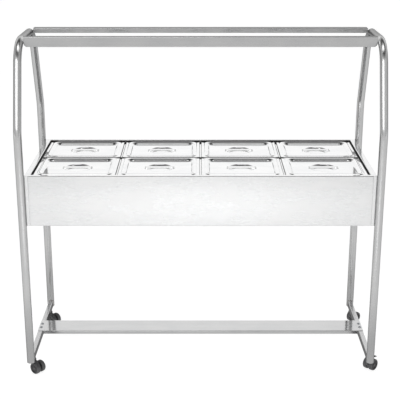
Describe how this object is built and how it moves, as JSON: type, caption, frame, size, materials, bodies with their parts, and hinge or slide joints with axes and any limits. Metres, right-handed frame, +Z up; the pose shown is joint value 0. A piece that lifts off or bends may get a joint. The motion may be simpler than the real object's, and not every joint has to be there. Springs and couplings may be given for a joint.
{
  "type": "steam table",
  "caption": "Mobile heated serving counter: a stainless water-bath body with lidded food pans, hung between bent-tube arches on swivel casters.",
  "frame": {"origin": "on the floor, at the middle of the object's box, midway between the four legs", "axes": "+X to the operator's right along the long side, +Y from front to rear, +Z up"},
  "size_m": [1.5085, 0.612, 1.404],
  "materials": {
    "mirror_steel": "mirror-polished stainless sheet",
    "satin_steel": "fine satin stainless sheet",
    "tube_steel": "grey satin-polished stainless tube",
    "zinc_steel": "dull zinc plate and element sheath",
    "brass": "plain machined brass",
    "black_plastic": "moulded black nylon",
    "red_lens": "translucent red lamp lens"
  },
  "bodies": {
    "root": {"arch_left": "tube_steel", "arch_right": "tube_steel", "foot_bar_left": "tube_steel", "foot_bar_right": "tube_steel", "lower_stretcher": "mirror_steel", "overhead_bar_front": "satin_steel", "overhead_bar_rear": "satin_steel", "front_panel": "satin_steel", "rear_panel": "satin_steel", "end_panel_left": "satin_steel", "end_panel_right": "satin_steel", "bottom_panel": "satin_steel", "deck_frame": "mirror_steel", "water_tank": "satin_steel", "divider_grid": "mirror_steel", "heating_element": "zinc_steel", "control_box": "satin_steel", "pilot_lamp": "red_lens", "cable_gland": "black_plastic", "drain_valve": "brass", "caster_front_left_stem": "zinc_steel", "caster_front_right_stem": "zinc_steel", "caster_rear_left_stem": "zinc_steel", "caster_rear_right_stem": "zinc_steel"},
    "pan_front_1": {"pan_front_1": "mirror_steel"},
    "lid_front_1": {"lid_front_1": "mirror_steel"},
    "pan_front_2": {"pan_front_2": "mirror_steel"},
    "lid_front_2": {"lid_front_2": "mirror_steel"},
    "pan_front_3": {"pan_front_3": "mirror_steel"},
    "lid_front_3": {"lid_front_3": "mirror_steel"},
    "pan_front_4": {"pan_front_4": "mirror_steel"},
    "lid_front_4": {"lid_front_4": "mirror_steel"},
    "pan_rear_1": {"pan_rear_1": "mirror_steel"},
    "lid_rear_1": {"lid_rear_1": "mirror_steel"},
    "pan_rear_2": {"pan_rear_2": "mirror_steel"},
    "lid_rear_2": {"lid_rear_2": "mirror_steel"},
    "pan_rear_3": {"pan_rear_3": "mirror_steel"},
    "lid_rear_3": {"lid_rear_3": "mirror_steel"},
    "pan_rear_4": {"pan_rear_4": "mirror_steel"},
    "lid_rear_4": {"lid_rear_4": "mirror_steel"},
    "thermostat_knob": {"thermostat_knob": "black_plastic"},
    "drain_lever": {"drain_lever": "black_plastic"},
    "caster_front_left": {"caster_front_left_housing": "black_plastic", "caster_front_left_axle": "zinc_steel"},
    "caster_front_left_wheel_a": {"caster_front_left_wheel_a": "black_plastic"},
    "caster_front_left_wheel_b": {"caster_front_left_wheel_b": "black_plastic"},
    "caster_front_right": {"caster_front_right_housing": "black_plastic", "caster_front_right_axle": "zinc_steel"},
    "caster_front_right_wheel_a": {"caster_front_right_wheel_a": "black_plastic"},
    "caster_front_right_wheel_b": {"caster_front_right_wheel_b": "black_plastic"},
    "caster_front_right_brake": {"caster_front_right_brake": "black_plastic"},
    "caster_rear_left": {"caster_rear_left_housing": "black_plastic", "caster_rear_left_axle": "zinc_steel"},
    "caster_rear_left_wheel_a": {"caster_rear_left_wheel_a": "black_plastic"},
    "caster_rear_left_wheel_b": {"caster_rear_left_wheel_b": "black_plastic"},
    "caster_rear_right": {"caster_rear_right_housing": "black_plastic", "caster_rear_right_axle": "zinc_steel"},
    "caster_rear_right_wheel_a": {"caster_rear_right_wheel_a": "black_plastic"},
    "caster_rear_right_wheel_b": {"caster_rear_right_wheel_b": "black_plastic"}
  },
  "joints": [
    {"name": "pan_front_1_lift", "type": "slide", "parent": "root", "child": "pan_front_1", "axis": [0, 0, 1], "range_m": [0, 0.14]},
    {"name": "lid_front_1_lift", "type": "slide", "parent": "pan_front_1", "child": "lid_front_1", "axis": [0, 0, 1], "range_m": [0, 0.15]},
    {"name": "pan_front_2_lift", "type": "slide", "parent": "root", "child": "pan_front_2", "axis": [0, 0, 1], "range_m": [0, 0.14]},
    {"name": "lid_front_2_lift", "type": "slide", "parent": "pan_front_2", "child": "lid_front_2", "axis": [0, 0, 1], "range_m": [0, 0.15]},
    {"name": "pan_front_3_lift", "type": "slide", "parent": "root", "child": "pan_front_3", "axis": [0, 0, 1], "range_m": [0, 0.14]},
    {"name": "lid_front_3_lift", "type": "slide", "parent": "pan_front_3", "child": "lid_front_3", "axis": [0, 0, 1], "range_m": [0, 0.15]},
    {"name": "pan_front_4_lift", "type": "slide", "parent": "root", "child": "pan_front_4", "axis": [0, 0, 1], "range_m": [0, 0.14]},
    {"name": "lid_front_4_lift", "type": "slide", "parent": "pan_front_4", "child": "lid_front_4", "axis": [0, 0, 1], "range_m": [0, 0.15]},
    {"name": "pan_rear_1_lift", "type": "slide", "parent": "root", "child": "pan_rear_1", "axis": [0, 0, 1], "range_m": [0, 0.14]},
    {"name": "lid_rear_1_lift", "type": "slide", "parent": "pan_rear_1", "child": "lid_rear_1", "axis": [0, 0, 1], "range_m": [0, 0.15]},
    {"name": "pan_rear_2_lift", "type": "slide", "parent": "root", "child": "pan_rear_2", "axis": [0, 0, 1], "range_m": [0, 0.14]},
    {"name": "lid_rear_2_lift", "type": "slide", "parent": "pan_rear_2", "child": "lid_rear_2", "axis": [0, 0, 1], "range_m": [0, 0.15]},
    {"name": "pan_rear_3_lift", "type": "slide", "parent": "root", "child": "pan_rear_3", "axis": [0, 0, 1], "range_m": [0, 0.14]},
    {"name": "lid_rear_3_lift", "type": "slide", "parent": "pan_rear_3", "child": "lid_rear_3", "axis": [0, 0, 1], "range_m": [0, 0.15]},
    {"name": "pan_rear_4_lift", "type": "slide", "parent": "root", "child": "pan_rear_4", "axis": [0, 0, 1], "range_m": [0, 0.14]},
    {"name": "lid_rear_4_lift", "type": "slide", "parent": "pan_rear_4", "child": "lid_rear_4", "axis": [0, 0, 1], "range_m": [0, 0.15]},
    {"name": "thermostat_turn", "type": "hinge", "parent": "root", "child": "thermostat_knob", "pos_m": [-0.7285, 0.022, 0.775], "axis": [1, 0, 0], "range_deg": [0, 270]},
    {"name": "drain_turn", "type": "hinge", "parent": "root", "child": "drain_lever", "pos_m": [-0.538, 0.15, 0.636], "axis": [-1, 0, 0], "range_deg": [0, 90]},
    {"name": "caster_front_left_swivel", "type": "hinge", "parent": "root", "child": "caster_front_left", "pos_m": [-0.71, -0.24, 0.05], "axis": [0, 0, 1], "continuous": true},
    {"name": "caster_front_left_wheel_a_spin", "type": "hinge", "parent": "caster_front_left", "child": "caster_front_left_wheel_a", "pos_m": [-0.69109, -0.25478, 0.025], "axis": [0.6157, 0.788, 0], "continuous": true},
    {"name": "caster_front_left_wheel_b_spin", "type": "hinge", "parent": "caster_front_left", "child": "caster_front_left_wheel_b", "pos_m": [-0.69109, -0.25478, 0.025], "axis": [0.6157, 0.788, 0], "continuous": true},
    {"name": "caster_front_right_swivel", "type": "hinge", "parent": "root", "child": "caster_front_right", "pos_m": [0.71, -0.24, 0.05], "axis": [0, 0, 1], "continuous": true},
    {"name": "caster_front_right_wheel_a_spin", "type": "hinge", "parent": "caster_front_right", "child": "caster_front_right_wheel_a", "pos_m": [0.72697, -0.22303, 0.025], "axis": [-0.7071, 0.7071, 0], "continuous": true},
    {"name": "caster_front_right_wheel_b_spin", "type": "hinge", "parent": "caster_front_right", "child": "caster_front_right_wheel_b", "pos_m": [0.72697, -0.22303, 0.025], "axis": [-0.7071, 0.7071, 0], "continuous": true},
    {"name": "caster_front_right_brake_press", "type": "hinge", "parent": "caster_front_right", "child": "caster_front_right_brake", "pos_m": [0.72131, -0.22869, 0.0535], "axis": [-0.7071, 0.7071, 0], "range_deg": [0, 10]},
    {"name": "caster_rear_left_swivel", "type": "hinge", "parent": "root", "child": "caster_rear_left", "pos_m": [-0.71, 0.24, 0.05], "axis": [0, 0, 1], "continuous": true},
    {"name": "caster_rear_left_wheel_a_spin", "type": "hinge", "parent": "caster_rear_left", "child": "caster_rear_left_wheel_a", "pos_m": [-0.69109, 0.22522, 0.025], "axis": [0.6157, 0.788, 0], "continuous": true},
    {"name": "caster_rear_left_wheel_b_spin", "type": "hinge", "parent": "caster_rear_left", "child": "caster_rear_left_wheel_b", "pos_m": [-0.69109, 0.22522, 0.025], "axis": [0.6157, 0.788, 0], "continuous": true},
    {"name": "caster_rear_right_swivel", "type": "hinge", "parent": "root", "child": "caster_rear_right", "pos_m": [0.71, 0.24, 0.05], "axis": [0, 0, 1], "continuous": true},
    {"name": "caster_rear_right_wheel_a_spin", "type": "hinge", "parent": "caster_rear_right", "child": "caster_rear_right_wheel_a", "pos_m": [0.72697, 0.25697, 0.025], "axis": [-0.7071, 0.7071, 0], "continuous": true},
    {"name": "caster_rear_right_wheel_b_spin", "type": "hinge", "parent": "caster_rear_right", "child": "caster_rear_right_wheel_b", "pos_m": [0.72697, 0.25697, 0.025], "axis": [-0.7071, 0.7071, 0], "continuous": true}
  ]
}
